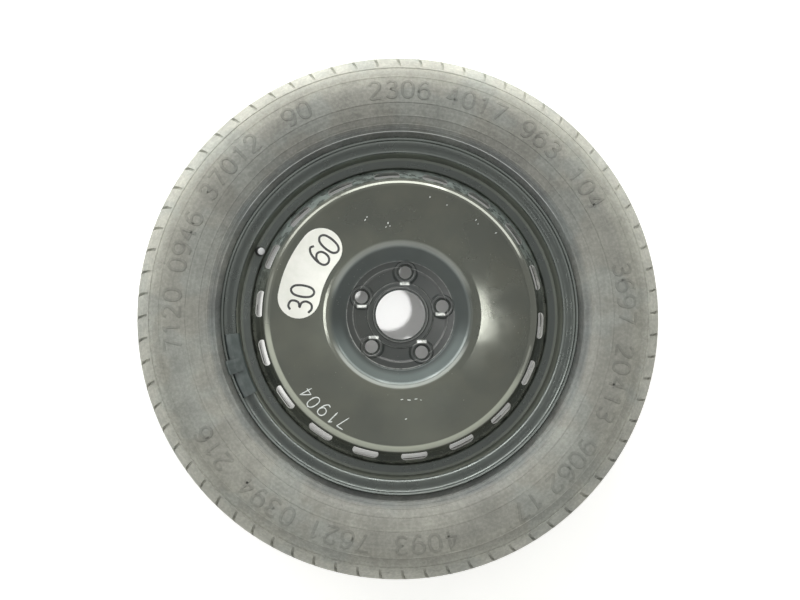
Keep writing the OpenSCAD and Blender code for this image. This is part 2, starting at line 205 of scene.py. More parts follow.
def tyre_material(name="tyre_rubber", shade=1.0):
    """Faded rubber; shade darkens it: the tops of moulded marks, which are rubbed clean, and, as painted
    shade, the floors of the lateral grooves.
    """
    m = Nodes(name, (0.2, 0.2, 0.18), 0.8)
    r = m.radius()
    _, y, z = m.position()
    patches = m.noise(9, 4, 0.6)
    faded = m.mix(m.times(m.ramp(patches, 0.35, 0.72), 0.5), tyre_tones(m, r, z), FADED_PATCH)
    blue = m.mix(m.ramp(m.noise(16, 2), 0.5, 0.62), faded, BLUE_PATCH)
    smudge = m.times(m.ramp(m.noise(160, 2, 0.6), 0.6, 0.76), m.ramp(m.noise(24, 2), 0.48, 0.62))
    dirt_and_bead_shade = m.mix(m.times(smudge, 0.4), m.mix(0.25, faded, blue), SMUDGE)
    streaks = m.ramp(m.ramp(m.noise(240, 3, 0.65), 0.34, 0.7), 0, 1, -0.1, 0.08)
    rings = m.ramp(m.rings(r, 330), 0.3, 0.7, -0.035, 0.035)
    clouds = m.ramp(m.noise(34, 4, 0.7), 0.3, 0.7, -0.1, 0.09)
    # Painted light and shade: the outer part is paler on the upper half of the picture, the inner part on
    # the lower half
    outer = m.times(m.ramp(r, 0.285, 0.315), 0.4)
    upper = m.maths("SUBTRACT", m.ramp(y, -0.05, 0.25), 0.4)
    painted_light_split = m.times(upper, m.maths("SUBTRACT", outer, 0.18))
    level = m.times(m.plus(streaks, rings, clouds, painted_light_split, 1.0), shade)
    # A painted highlight on the crest of the rib beside the flange, at the top
    line = m.times(m.band(r, 0.2433, 0.2441, 0.0004), m.ramp(y, 0.1, 0.17, 0.0, 0.7))
    m.colour(m.mix(line, m.scaled(dirt_and_bead_shade, level), RIB_HIGHLIGHT))
    m.rough(m.ramp(patches, 0.3, 0.7, 0.6, 0.74))
    m.bump(m.plus(m.noise(1400, 2, 0.6), m.times(m.noise(260, 3, 0.6), 1.8)), 0.00022, 0.6)
    return m.mat


# Colours of what lies on the paint, of the dark recess, and of painted highlights on it
DUST, SLOPE_DUST, HIGHLIGHT_PALE = (0.36, 0.38, 0.31), (0.33, 0.385, 0.36), (0.62, 0.64, 0.6)
RECESS_DARK, RECESS_WALL_HIGHLIGHT, LIP_HIGHLIGHT = (0.018, 0.022, 0.022), (0.34, 0.41, 0.39), (0.5, 0.53, 0.49)
HUB_TINT, RECESS_TINT = (1.0, 0.99, 0.97), (0.9, 1.0, 0.97)
# Painted highlights as pale bars beside the bolt holes: their middles, half length and half width, in mm
HIGHLIGHT_BARS = [(5.7, 41.7), (-51.5, 11.1), (53.0, 1.0), (-35.5, -30.1), (28.3, -35.4)]
BAR_HALF_L, BAR_HALF_W = 6.2, 1.9
# Painted highlights as thin rings on the hub face: their radii, in metres, and how pale they are
HUB_HIGHLIGHT_RINGS = [(0.0633, 0.16), (0.0438, 0.2), (0.036, 0.12)]


def dust_and_painted_light_shares(m, dust_and_sheen, seat_light):
    """Shares of the paint that carry dust and painted light: loosely, in all, and on the slope."""
    x, y, _ = m.position()
    r = m.radius()
    # Dust lies on the slope with the vents, most of it on the upper half of the picture
    slope = m.times(m.band(r, 0.18, 0.2, 0.003), m.ramp(y, -0.02, 0.12))
    patchy = m.times(slope, m.ramp(m.noise(75, 4, 0.65), 0.38, 0.62, 0.3, 1.0), 0.55 * dust_and_sheen)
    specks = m.ramp(m.cells(260), 0.03, 0.12, 1.0, 0.0)
    grit = m.times(specks, m.ramp(m.noise(34, 2), 0.56, 0.66), 0.6 * dust_and_sheen)
    # More lies in the corner where the disc meets the rim
    corner = m.times(m.band(r, 0.194, 0.203, 0.003), m.ramp(m.noise(50, 4, 0.6), 0.3, 0.65, 0.1, 0.42))
    # The shoulder is painted pale on the lower half of the picture, as a painted reflection
    lower = m.ramp(m.plus(m.times(x, 0.2), y), -0.07, -0.03, 1.0, 0.0)
    shoulder_reflection = m.times(m.band(r, 0.1715, 0.1785, 0.0012), lower, 0.8)
    # Painted light lifts the shade in the groove at the bead seat all round, and a thin painted reflection
    # runs along it on the left
    left = m.times(m.ramp(x, -0.15, -0.09, 1.0, 0.0), m.ramp(y, 0.0, 0.05, 1.0, 0.0))
    line = m.times(m.band(r, 0.2158, 0.2166, 0.0004), left, 2.2 * seat_light)
    painted_seat_light = m.maths("MAXIMUM", m.times(m.band(r, 0.2115, 0.2165, 0.0012), seat_light), line)
    extra = m.plus(m.times(m.plus(corner, shoulder_reflection), dust_and_sheen), painted_seat_light)
    dust_and_painted_light = m.maths("MINIMUM", m.plus(patchy, grit, extra), 1.0)
    # A thin haze over the disc's face is stronger towards the lower left
    haze = m.times(m.ramp(m.noise(5, 3, 0.6), 0.3, 0.75, 0.05, 0.13), m.band(r, 0.092, 0.2, 0.006))
    haze = m.times(haze, m.ramp(m.plus(x, y), -0.12, 0.12, 1.4, 0.4), dust_and_sheen)
    return dust_and_painted_light, m.maths("MINIMUM", m.plus(dust_and_painted_light, haze), 1.0), slope


def hub_recess(m, paint, tint):
    """The duller, greener recess with painted highlights on its wall, lip and hub face: its colour and its
    extra roughness.
    """
    x, y, _ = m.position()
    r = m.radius()
    recess = m.ramp(r, 0.088, 0.098, 1.0, 0.0)
    m.join(m.ramp(r, 0.088, 0.098, 0.25, 0.5), m.shader.inputs["Specular IOR Level"])
    neutral = m.mix(m.ramp(r, 0.07, 0.074), HUB_TINT, RECESS_TINT)
    m.join(m.mix(recess, tint, neutral), m.shader.inputs["Specular Tint"])
    # Painted highlights on the lower part of the recess wall, and on the lip's lower and upper parts
    wall = m.times(m.band(r, 0.078, 0.093, 0.004), m.ramp(y, -0.05, 0.0, 1.0, 0.0), 0.16)
    recess_and_highlights = m.mix(wall, m.mix(m.times(recess, 0.6), paint, RECESS_DARK), RECESS_WALL_HIGHLIGHT)
    lip = m.times(m.band(r, 0.0925, 0.0965, 0.001), m.ramp(y, -0.06, -0.03, 0.5, 0.0))
    above = m.times(m.band(r, 0.091, 0.0975, 0.002), m.ramp(y, 0.02, 0.05, 0.0, 0.22))
    recess_and_highlights = m.mix(m.plus(lip, above), recess_and_highlights, LIP_HIGHLIGHT)
    # Painted highlights as thin rings on the hub face and pale bars beside the bolt holes, broken up by
    # noise
    hub_highlights = m.times(m.band(r, 0.0713, 0.0722, 0.0006), m.ramp(y, -0.05, 0.02, 0.42, 0.16))
    for at, share in HUB_HIGHLIGHT_RINGS:
        hub_highlights = m.plus(m.times(m.band(r, at - 0.0004, at + 0.0004, 0.0005), share), hub_highlights)
    for u, v in HIGHLIGHT_BARS:
        across = m.band(x, (u - BAR_HALF_L) * MM, (u + BAR_HALF_L) * MM, 0.0011)
        along = m.band(y, (v - BAR_HALF_W) * MM, (v + BAR_HALF_W) * MM, 0.0009)
        hub_highlights = m.plus(m.times(across, along), hub_highlights)
    highlight_breakup = m.ramp(m.noise(220, 3, 0.6), 0.3, 0.6, 0.35, 0.95)
    return m.mix(m.times(hub_highlights, highlight_breakup), recess_and_highlights, HIGHLIGHT_PALE), m.times(recess, 0.14)


def paint_material(name, dark, grey, tint, gloss, dust_and_sheen, seat_light=0.0):
    """Black paint of two tones: tint colours its gloss; the last two numbers say how dusted it is, with its
    painted shoulder reflection, and how strong the painted light at its bead seat is.
    """
    m = Nodes(name, dark, gloss, IOR=1.88, Specular_Tint=(*tint, 1))
    base = m.mix(m.ramp(m.noise(14, 4, 0.55), 0.3, 0.7), dark, grey)
    dust_and_painted_light, all_dust_and_painted_light, slope = dust_and_painted_light_shares(m, dust_and_sheen, seat_light)
    paint = m.mix(all_dust_and_painted_light, base, m.mix(slope, DUST, SLOPE_DUST))
    worn = m.ramp(m.noise(40, 4, 0.6), 0.3, 0.75, gloss * 0.8, gloss * 1.25)
    if dust_and_sheen == 1.0:
        paint, dull = hub_recess(m, paint, tint)
        worn = m.plus(worn, dull)
    m.colour(paint)
    m.rough(m.maths("MINIMUM", m.plus(worn, m.times(dust_and_painted_light, 0.6)), 1.0))
    m.bump(m.plus(m.noise(90, 2, 0.4), m.times(m.noise(600, 2), 0.2)), 0.00006, 0.25)
    return m.mat


def plain(name, base, other, roughness, scale, depth, **sockets):
    """A two-tone finish with fine bump."""
    m = Nodes(name, base, roughness, **sockets)
    m.colour(m.mix(m.ramp(m.noise(scale, 4, 0.6), 0.35, 0.68), base, other))
    m.rough(m.ramp(m.noise(scale * 2.3, 3), 0.3, 0.7, roughness * 0.85, min(1.0, roughness * 1.2)))
    m.bump(m.noise(scale * 6, 2), depth, 0.5)
    return m.mat


CAP_BLACK, CAP_GREY, CAP_HIGHLIGHT = (0.022, 0.022, 0.023), (0.045, 0.047, 0.045), (0.6, 0.61, 0.6)


def cap_material():
    """Black plastic whose top is painted pale, as a painted highlight."""
    m = Nodes("cap_plastic", (0.03, 0.033, 0.031), 0.32)
    top = max(v.co.z for v in nodes["valve_cap"].data.vertices)
    # A painted highlight: the top of the cap is paler
    worn = m.ramp(m.position()[2], top - 0.0035, top - 0.0005, 0.0, 0.85)
    m.colour(m.mix(worn, m.mix(m.noise(400, 3), CAP_BLACK, CAP_GREY), CAP_HIGHLIGHT))
    m.bump(m.noise(2400, 2), 0.00003, 0.5)
    return m.mat


TYRE = tyre_material()
# Darker rubber for the print, and as painted shade in the floors of the lateral grooves
MARKS_AND_GROOVE_SHADE = tyre_material("tyre_rubber_marks_and_groove_shade", 0.8)
PAINT = paint_material(
    "wheel_black_paint", (0.014, 0.017, 0.015), (0.03, 0.031, 0.023), (0.97, 1.0, 0.87),
    gloss=0.09, dust_and_sheen=1.0,
)
RIM_PAINT = paint_material(
    "rim_black_paint", (0.012, 0.015, 0.014), (0.022, 0.025, 0.021), (0.92, 1.0, 0.94),
    gloss=0.3, dust_and_sheen=0.3, seat_light=0.3,
)
VALVE_RUBBER = plain("valve_rubber", (0.02, 0.02, 0.02), (0.045, 0.045, 0.043), 0.5, 300, 0.00004)
BRASS = plain("turned_brass", (0.62, 0.46, 0.2), (0.5, 0.38, 0.18), 0.32, 400, 0.00002, Metallic=1.0)
SEAL = plain("seal_white", (0.72, 0.7, 0.64), (0.6, 0.58, 0.52), 0.5, 400, 0.00002)
SPRING = plain("spring_steel", (0.42, 0.43, 0.44), (0.3, 0.31, 0.31), 0.35, 300, 0.00002, Metallic=1.0)
CAP = cap_material()
WEIGHT = plain("weight_coat", (0.045, 0.058, 0.054), (0.075, 0.09, 0.085), 0.45, 70, 0.0001)
CLIP = plain("weight_clip_steel", (0.05, 0.062, 0.058), (0.09, 0.105, 0.1), 0.4, 120, 0.00005, Metallic=0.3)
FILM = plain("label_film", (0.72, 0.73, 0.66), (0.79, 0.79, 0.73), 0.45, 45, 0.00005)
INK = plain("label_ink", (0.03, 0.032, 0.03), (0.06, 0.06, 0.058), 0.6, 200, 0.00002)
MARKER = plain("paint_marker", (0.62, 0.66, 0.63), (0.78, 0.8, 0.77), 0.55, 240, 0.00005)

for name, material in {
    "tyre": TYRE, "rim": RIM_PAINT, "disc": PAINT, "weld_seams": RIM_PAINT, "valve_body": VALVE_RUBBER,
    "valve_stem": BRASS, "core_plug": BRASS, "core_barrel": BRASS, "barrel_seal": SEAL, "core_pin": BRASS,
    "core_cup": BRASS, "cup_gasket": VALVE_RUBBER, "core_spring": SPRING, "valve_cap": CAP,
    "balance_weight": WEIGHT, "weight_clip": CLIP, "label": FILM,
}.items():
    nodes[name].data.materials.clear()
    nodes[name].data.materials.append(material)


# Meshes

def new_piece(name, vertices, faces, material, sharp=30):
    mesh = bpy.data.meshes.new(name)
    mesh.from_pydata([tuple(v) for v in vertices], [], [tuple(f) for f in faces])
    mesh.materials.append(material)
    mesh.polygons.foreach_set("use_smooth", [True] * len(mesh.polygons))
    mesh.set_sharp_from_angle(angle=math.radians(sharp))
    mesh.update()
    piece = bpy.data.objects.new(name, mesh)
    scene.collection.objects.link(piece)
    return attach(piece, "wheel")


def rounded(corners, step):
    """An open outline whose corners [r, w, bend] are rounded, as the CAD model rounds them."""
    out = [np.array(corners[0][:2], float)]
    for before, corner, after in zip(corners, corners[1:], corners[2:]):
        a, c, b = (np.array(p[:2], float) for p in (before, corner, after))
        into, away = (c - a) / np.linalg.norm(c - a), (b - c) / np.linalg.norm(b - c)
        turn = math.atan2(into[0] * away[1] - into[1] * away[0], into @ away)
        if corner[2] == 0 or abs(turn) < 1e-9:
            out.append(c)
            continue
        side = math.copysign(1, turn)
        start = c - corner[2] * math.tan(abs(turn) / 2) * into
        middle = start + side * corner[2] * np.array([-into[1], into[0]])
        arm = start - middle
        steps = max(1, math.ceil(abs(turn) / math.radians(step)))
        for k in range(steps + 1):
            a = turn * k / steps
            out.append(middle + np.array([
                arm[0] * math.cos(a) - arm[1] * math.sin(a), arm[0] * math.sin(a) + arm[1] * math.cos(a),
            ]))
    out.append(np.array(corners[-1][:2], float))
    return np.array(out)


# Tyre

# Sizes of the CAD tyre: radii, then half widths, in mm
TYRE_R, SEAT_R, FLANGE_R, HALF_S, HALF_W = 355.4, 218.3, 236.3, 77.5, 50.8
SECTION_H = TYRE_R - SEAT_R
CROWN, TREAD_END, SHOULDER_W = 130.0, 46.0, 58.0
WALL_T, TREAD_T, TOE, TOE_H = 7, 14, HALF_W - 17.5, 6
SEAT_SLOPE, SEAT_GAP = math.tan(math.radians(5)), 0.05
# The tread: pitches round the tyre, and the depths of its grooves and sipes
PITCHES = 72
GROOVE_DEPTH, LATERAL_DEPTH, SIPE_DEPTH = 6.0, 4.6, 4.0
# The rim hides the bead, so the mesh keeps one line in this many of its rounded corners
BEAD_SKIP = 5


def crown_drop(w):
    return w * w / (2 * CROWN)


def seat_at(w):
    return SEAT_R - (HALF_W - w) * SEAT_SLOPE + SEAT_GAP


# Height of the moulded digits, and how far the mesh keeps inside the tyre's widest place
MARK_H = 0.5


def tyre_lines():
    """Half of the tyre's section, outside and inside, as points [r, w]."""
    widest, inside = HALF_S - MARK_H, HALF_S - WALL_T
    side = HALF_W - SEAT_GAP
    edge_r = TYRE_R - crown_drop(TREAD_END)
    corner_r = edge_r - (SHOULDER_W - TREAD_END) * TREAD_END / CROWN
    start = [seat_at(TOE) + TOE_H, TOE, 0]
    outer = rounded([
        start, [seat_at(TOE), TOE, 1.5], [seat_at(HALF_W), side, 8], [FLANGE_R - 5, side, 4],
        [SEAT_R + 0.34 * SECTION_H, widest, 60], [SEAT_R + 0.72 * SECTION_H, widest, 60],
        [corner_r, SHOULDER_W, 18], [edge_r, TREAD_END, 0],
    ], 3)
    crown = np.array([[TYRE_R - crown_drop(w), w] for w in np.linspace(TREAD_END, 0, 24)[1:]])
    inner = rounded([
        start, [SEAT_R + 11, HALF_W - 12, 10],
        [SEAT_R + 0.37 * SECTION_H, inside, 52], [SEAT_R + 0.68 * SECTION_H, inside, 40],
        [edge_r - TREAD_T - 1, SHOULDER_W - 10, 16], [edge_r - TREAD_T + 2, TREAD_END - 12, 0],
        [TYRE_R - TREAD_T, 0, 0],
    ], 24)
    return np.vstack([outer, crown]), inner


OUTER, INNER = tyre_lines()
STEPS = np.r_[0, np.cumsum(np.linalg.norm(np.diff(OUTER, axis=0), axis=1))]
TANGENT = np.gradient(OUTER, STEPS, axis=0)
TANGENT /= np.linalg.norm(TANGENT, axis=1)[:, None]
NORMAL = np.stack([TANGENT[:, 1], -TANGENT[:, 0]], axis=1)
if NORMAL[-1][0] < 0:
    NORMAL = -NORMAL
HEEL = int(np.argmax(OUTER[:, 0] > SEAT_R + 6))


def at_radius(r):
    """The outer line's length at a radius on the sidewall."""
    part = slice(HEEL, None)
    return float(np.interp(r, OUTER[part, 0], STEPS[part]))


def at_width(w):
    """The outer line's length at a place on the tread, from the middle."""
    part = slice(int(np.argmax(STEPS > at_radius(345))), None)
    return float(np.interp(-w, -OUTER[part, 1], STEPS[part]))


def on_outer(s, offset=0.0):
    p = np.array([np.interp(s, STEPS, OUTER[:, k]) for k in (0, 1)])
    n = np.array([np.interp(s, STEPS, NORMAL[:, k]) for k in (0, 1)])
    return p + offset * n / np.linalg.norm(n)


# Ribs round the sidewall, as (radius, height, width); the fine ones are on the outboard side only
RIBS = [(243.5, 0.7, 2.4), (278.5, 0.4, 1.0), (312.5, 0.4, 1.0)]
FINE_RIBS = [(247.5, 0.45, 1.2), (252.0, 0.4, 1.0), (262.0, 0.4, 1.0)]
# Radii of the mesh's plain lines between the ribs, on the outboard and the inboard side
FINE_LINES = (236, 240, 253, 257, 268, 272, 281, 287, 293, 299, 305, 316, 320)
PLAIN_LINES = (238, 254, 266, 284, 294, 302, 318)
# The groove where the shoulder starts: its radius, and lines as (length from there, height)
SHOULDER_R = 325.5
SHOULDER_GROOVE = [(-1.6, 0), (-1.0, -0.7), (0.8, -0.7), (1.3, 0.2)]
# Lines over the shoulder, as (radius, height, share of a lateral groove)
SHOULDER_LINES = [(328.5, 0.2, 0), (330.5, 0.15, 0.3), (337, 0, 0.6), (343, 0, 0.85)]
# Lines across half of the tread, as (width, height, share of a lateral groove, share of a sipe)
TREAD_LINES = [
    (55.5, 0, 1, 0), (53.5, 0, 1, 0), (51, 0, 1, 1), (48, 0, 1, 1), (42, 0, 1, 1), (36, 0, 1, 1),
    (35.7, -GROOVE_DEPTH, 0, 0), (30.3, -GROOVE_DEPTH, 0, 0), (30, 0, 0, 1), (22, 0, 0, 1), (14, 0, 0, 1),
    (13.7, -GROOVE_DEPTH, 0, 0), (8.3, -GROOVE_DEPTH, 0, 0), (8, 0, 0, 0.7),
]


def rib(r, height, width):
    section = ((-0.5, 0), (-0.25, height), (0.25, height), (0.5, 0))
    return [(at_radius(r) + share * width, h, 0, 0) for share, h in section]


def half_stations(fine):
    """Places along half of the outer line: (length, height, share of a lateral groove, share of a sipe)."""
    out = [(s, 0, 0, 0) for s in (*STEPS[:HEEL:BEAD_SKIP], STEPS[HEEL])]
    for r, height, width in RIBS + FINE_RIBS if fine else RIBS:
        out += rib(r, height, width)
    out += [(at_radius(r), 0, 0, 0) for r in (FINE_LINES if fine else PLAIN_LINES)]
    out += [(at_radius(SHOULDER_R) + step, height, 0, 0) for step, height in SHOULDER_GROOVE]
    out += [(at_radius(r), height, lateral, 0) for r, height, lateral in SHOULDER_LINES]
    out += [(at_width(w), height, lateral, sipe) for w, height, lateral, sipe in TREAD_LINES]
    return sorted(out)


# Columns of one pitch: (place, depth of the lateral groove, depth of the sipe)
COLUMNS = [
    (0.0, 0, 0), (0.02, 1, 0), (0.11, 1, 0), (0.13, 0, 0),
    (0.50, 0, 0), (0.507, 0, 1), (0.53, 0, 1), (0.537, 0, 0),
]


def build_tyre():
    total = 2 * STEPS[-1]
    shoulder = at_radius(331)

    def slant(s):
        """Grooves lean: how far a column has moved round the tyre, in pitches."""
        t = np.clip((s - shoulder) / (total - 2 * shoulder), 0, 1)
        return 1.6 * t * t * (3 - 2 * t) + 0.3 * t

    rows = []
    for s, height, main, sipe in half_stations(True):
        r, w = on_outer(s, height)
        inward = -(on_outer(s, 1.0) - on_outer(s, 0.0))
        rows.append((r, w, inward, main, sipe, slant(s)))
    middle = on_outer(STEPS[-1])
    rows.append((middle[0], 0.0, np.array([-1.0, 0.0]), 0, 0.7, slant(STEPS[-1])))
    for s, height, main, sipe in reversed(half_stations(False)):
        r, w = on_outer(s, height)
        inward = -(on_outer(s, 1.0) - on_outer(s, 0.0))
        rows.append((r, -w, inward * np.array([1, -1]), main, sipe, slant(total - s)))
    last = rows[-1][5]
    inner = [(p[0], -p[1]) for p in INNER[1:]] + [(p[0], p[1]) for p in INNER[-2:0:-1]]
    for k, (r, w) in enumerate(inner):
        rows.append((r, w, np.array([0.0, 0.0]), 0, 0, last * (1 - (k + 1) / (len(inner) + 1))))
    per_row = PITCHES * len(COLUMNS)
    pitch = 2 * math.pi / PITCHES
    pts = np.zeros((len(rows), per_row, 3))
    base = np.array([k + c[0] for k in range(PITCHES) for c in COLUMNS])
    lateral = np.array([c[1] for _ in range(PITCHES) for c in COLUMNS], float)
    sipes = np.array([c[2] for _ in range(PITCHES) for c in COLUMNS], float)
    for i, (r, w, inward, main, sipe, turn) in enumerate(rows):
        depth = LATERAL_DEPTH * main * lateral + SIPE_DEPTH * sipe * sipes
        rr, ww = r + depth * inward[0], w + depth * inward[1]
        a = (base + turn) * pitch
        pts[i] = np.stack([rr * np.cos(a), rr * np.sin(a), MID_Z + ww], axis=1)
    pts *= MM
    n = len(rows)
    i, j = np.meshgrid(np.arange(n), np.arange(per_row), indexing="ij")
    i2, j2 = (i + 1) % n, (j + 1) % per_row
    corners = [i * per_row + j, i * per_row + j2, i2 * per_row + j2, i2 * per_row + j]
    quads = np.stack(corners, axis=-1).reshape(-1, 4)
    piece = new_piece("tyre_moulded", pts.reshape(-1, 3), quads.tolist(), TYRE, 38)
    # The floors of the lateral grooves are darker: painted shade
    piece.data.materials.append(MARKS_AND_GROOVE_SHADE)
    grooved = np.array([row[3] > 0 for row in rows])
    low = (lateral > 0) & (np.roll(lateral, -1) > 0)
    floors = (grooved & np.roll(grooved, -1))[:, None] & low[None, :]
    piece.data.polygons.foreach_set("material_index", floors.reshape(-1).astype(np.int32))
    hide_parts("tyre")


build_tyre()


# Plain digits, drawn in a unit square

GLYPHS = {
    "0": [[
        (0.5, 0), (0.12, 0.14), (0, 0.5), (0.12, 0.86), (0.5, 1), (0.88, 0.86), (1, 0.5), (0.88, 0.14),
        (0.5, 0),
    ]],
    "1": [[(0.2, 0.78), (0.55, 1), (0.55, 0)]],
    "2": [[
        (0.05, 0.78), (0.2, 0.95), (0.5, 1), (0.82, 0.92), (0.92, 0.72), (0.75, 0.48), (0.3, 0.2), (0.03, 0),
        (0.97, 0),
    ]],
    "3": [[
        (0.06, 0.9), (0.4, 1), (0.82, 0.93), (0.9, 0.74), (0.75, 0.58), (0.4, 0.52), (0.8, 0.46),
        (0.98, 0.27), (0.8, 0.05), (0.4, 0), (0.02, 0.12),
    ]],
    "4": [[(0.7, 0), (0.7, 1), (0.0, 0.3), (1, 0.3)]],
    "6": [[
        (0.85, 0.93), (0.5, 1), (0.15, 0.8), (0.0, 0.4), (0.12, 0.1), (0.5, 0), (0.88, 0.1), (1, 0.32),
        (0.86, 0.54), (0.5, 0.62), (0.14, 0.5), (0.02, 0.32),
    ]],
    "7": [[(0.02, 1), (0.98, 1), (0.35, 0)]],
    "9": [[
        (0.98, 0.66), (0.82, 0.44), (0.5, 0.36), (0.14, 0.46), (0, 0.68), (0.14, 0.92), (0.5, 1),
        (0.86, 0.92), (1, 0.66), (0.9, 0.25), (0.6, 0), (0.2, 0.04),
    ]],
}


def smooth_line(points, parts=5):
    """A Catmull-Rom line through the points."""
    p = [np.array(q, float) for q in points]
    closed = np.allclose(p[0], p[-1])
    before = p[-2] if closed else 2 * p[0] - p[1]
    after = p[1] if closed else 2 * p[-1] - p[-2]
    q = [before, *p, after]
    out = []
    for k in range(1, len(q) - 2):
        for t in np.arange(parts) / parts:
            a, b, c, d = q[k - 1], q[k], q[k + 1], q[k + 2]
            square, cube = 2 * a - 5 * b + 4 * c - d, 3 * b - a - 3 * c + d
            out.append(0.5 * ((2 * b) + (c - a) * t + square * t * t + cube * t**3))
    out.append(p[-1])
    return np.array(out)


def strokes(digit):
    """Fine lines, in the unit square, of one digit."""
    for stroke in GLYPHS[digit]:
        if len(stroke) > 4:
            yield smooth_line(stroke)
        else:
            yield np.array([
                np.array(a) + (np.array(b) - np.array(a)) * t
                for a, b in zip(stroke, stroke[1:]) for t in np.linspace(0, 1, 6)
            ])


# Plain numbers moulded on the sidewall: where each starts, in degrees clockwise from the picture's top
PRINT = [
    (-99, "7120"), (-79, "0946"), (-59, "37012"), (-31, "90"), (-8, "2306"), (12, "4017"), (33, "963"),
    (50, "104"), (77, "3697"), (98, "20413"), (124, "9062"), (143, "17"), (166, "4093"), (188, "7621"),
    (208, "0394"), (229, "216"),
]
# The radius of the digits' feet, a digit's height and width, and its step round the tyre in degrees
PRINT_LOW, PRINT_H, PRINT_W, PRINT_STEP = 284.5, 22.0, 14.5, 4.15
STROKE_W = 3.4
# A stroke's section: shares of its width, and heights over the sidewall
STROKE_SECTION = ((-0.62, -0.25), (-0.42, MARK_H), (0.42, MARK_H), (0.62, -0.25))
# Points of a stroke stand at least this far apart, in mm
LEAST_STEP = 0.5


def build_print():
    vertices, faces = [], []
    for start, text in PRINT:
        for k, digit in enumerate(text):
            for line in strokes(digit):
                keep = [line[0]]
                for p in line[1:]:
                    if np.linalg.norm((p - keep[-1]) * (PRINT_W, PRINT_H)) > LEAST_STEP:
                        keep.append(p)
                flat = np.array(keep) * (PRINT_W, PRINT_H)
                along = np.gradient(flat, axis=0)
                along /= np.linalg.norm(along, axis=1)[:, None]
                side = np.stack([-along[:, 1], along[:, 0]], axis=1)
                first = len(vertices)
                for p, n in zip(flat, side):
                    for share, height in STROKE_SECTION:
                        q = p + n * share * STROKE_W
                        r, w = on_outer(at_radius(PRINT_LOW + q[1]), height)
                        turn = math.radians(90 - start - k * PRINT_STEP) - q[0] / (PRINT_LOW + PRINT_H / 2)
                        vertices.append((r * math.cos(turn) * MM, r * math.sin(turn) * MM, w * MM))
                for i in range(len(flat) - 1):
                    for c in range(4):
                        one, two = first + 4 * i + c, first + 4 * i + (c + 1) % 4
                        faces.append((one, two, two + 4, one + 4))
                end = first + 4 * (len(flat) - 1)
                faces += [(first, first + 3, first + 2, first + 1), (end, end + 1, end + 2, end + 3)]
    # The same print stands on the inboard side
    count = len(vertices)
    outboard = [(x, y, MID_Z * MM + z) for x, y, z in vertices]
    inboard = [(-x, y, MID_Z * MM - z) for x, y, z in vertices]
    faces += [tuple(i + count for i in face) for face in faces]
    new_piece("tyre_print", outboard + inboard, faces, MARKS_AND_GROOVE_SHADE, 40)


build_print()


# Camera

# Focal length and image size in pixels, distance in metres, and how far the camera leans off the axis
FOCAL = 791.1
IMAGE_W, IMAGE_H = 800, 600
DISTANCE = 1.1
TILT_X, TILT_Y = math.radians(1.71), math.radians(1.51)
AIM = Vector((0.0008, 0.022, MID_Z * MM))
camera_data = bpy.data.cameras.new("camera")
camera_data.sensor_fit = "HORIZONTAL"
camera_data.sensor_width = 36
camera_data.lens = FOCAL / IMAGE_W * camera_data.sensor_width
camera_data.clip_start, camera_data.clip_end = 0.05, 40
camera = bpy.data.objects.new("camera", camera_data)
camera.location = (-DISTANCE * math.tan(TILT_X), -DISTANCE * math.tan(TILT_Y), MID_Z * MM + DISTANCE)
back = (camera.location - AIM).normalized()
right = Vector((0, 1, 0)).cross(back).normalized()
up = back.cross(right)
camera.rotation_mode = "QUATERNION"
camera.rotation_quaternion = Matrix((right, up, back)).transposed().to_quaternion()
scene.collection.objects.link(camera)
scene.camera = camera


def seen_at(tree, u, v):
    """The place on a node that the photograph shows at pixel u, v."""
    ray = (u - IMAGE_W / 2) * right - (v - IMAGE_H / 2) * up - FOCAL * back
    hit = tree.ray_cast(camera.location, ray.normalized())
    return np.array(hit[0][:2])


# Marks that lie on the wheel

def tree_of(name):
    mesh = nodes[name].data
    return BVHTree.FromPolygons([v.co for v in mesh.vertices], [p.vertices for p in mesh.polygons])


DISC, LABEL = tree_of("disc"), tree_of("label")


def drop(tree, x, y):
    """The height, in metres, at which a line down at x, y meets that node."""
    hit = tree.ray_cast(Vector((x, y, 1)), Vector((0, 0, -1)))
    return None if hit[0] is None else hit[0].z


def ribbon(lines, width, tree, lift, thick, name, material, wobble=0.0):
    """Flat closed ribbons that lie on a node, along lines given in metres."""
    random.seed(7)
    vertices, faces = [], []
    for line in lines:
        keep = [line[0]]
        for p in line[1:]:
            if np.linalg.norm(p - keep[-1]) > 0.0004:
                keep.append(p)
        line = np.array(keep)
        along = np.gradient(line, axis=0)
        along /= np.linalg.norm(along, axis=1)[:, None] + 1e-12
        side = np.stack([-along[:, 1], along[:, 0]], axis=1)
        first = len(vertices)
        for k, (p, n) in enumerate(zip(line, side)):
            half = width / 2 * (1 + wobble * random.uniform(-1, 1))
            if wobble and k in (0, len(line) - 1):
                half *= 0.5
            for q in (p - half * n, p + half * n):
                z = drop(tree, *q)
                vertices += [(q[0], q[1], z + lift), (q[0], q[1], z + lift + thick)]
        for k in range(len(line) - 1):
            a, b = first + 4 * k, first + 4 * (k + 1)
            faces += [(a + 1, b + 1, b + 3, a + 3), (a, a + 2, b + 2, b)]
            faces += [(a, b, b + 1, a + 1), (a + 2, a + 3, b + 3, b + 2)]
        end = first + 4 * (len(line) - 1)
        faces += [(first, first + 1, first + 3, first + 2), (end, end + 2, end + 3, end + 1)]
    new_piece(name, vertices, faces, material, 40)


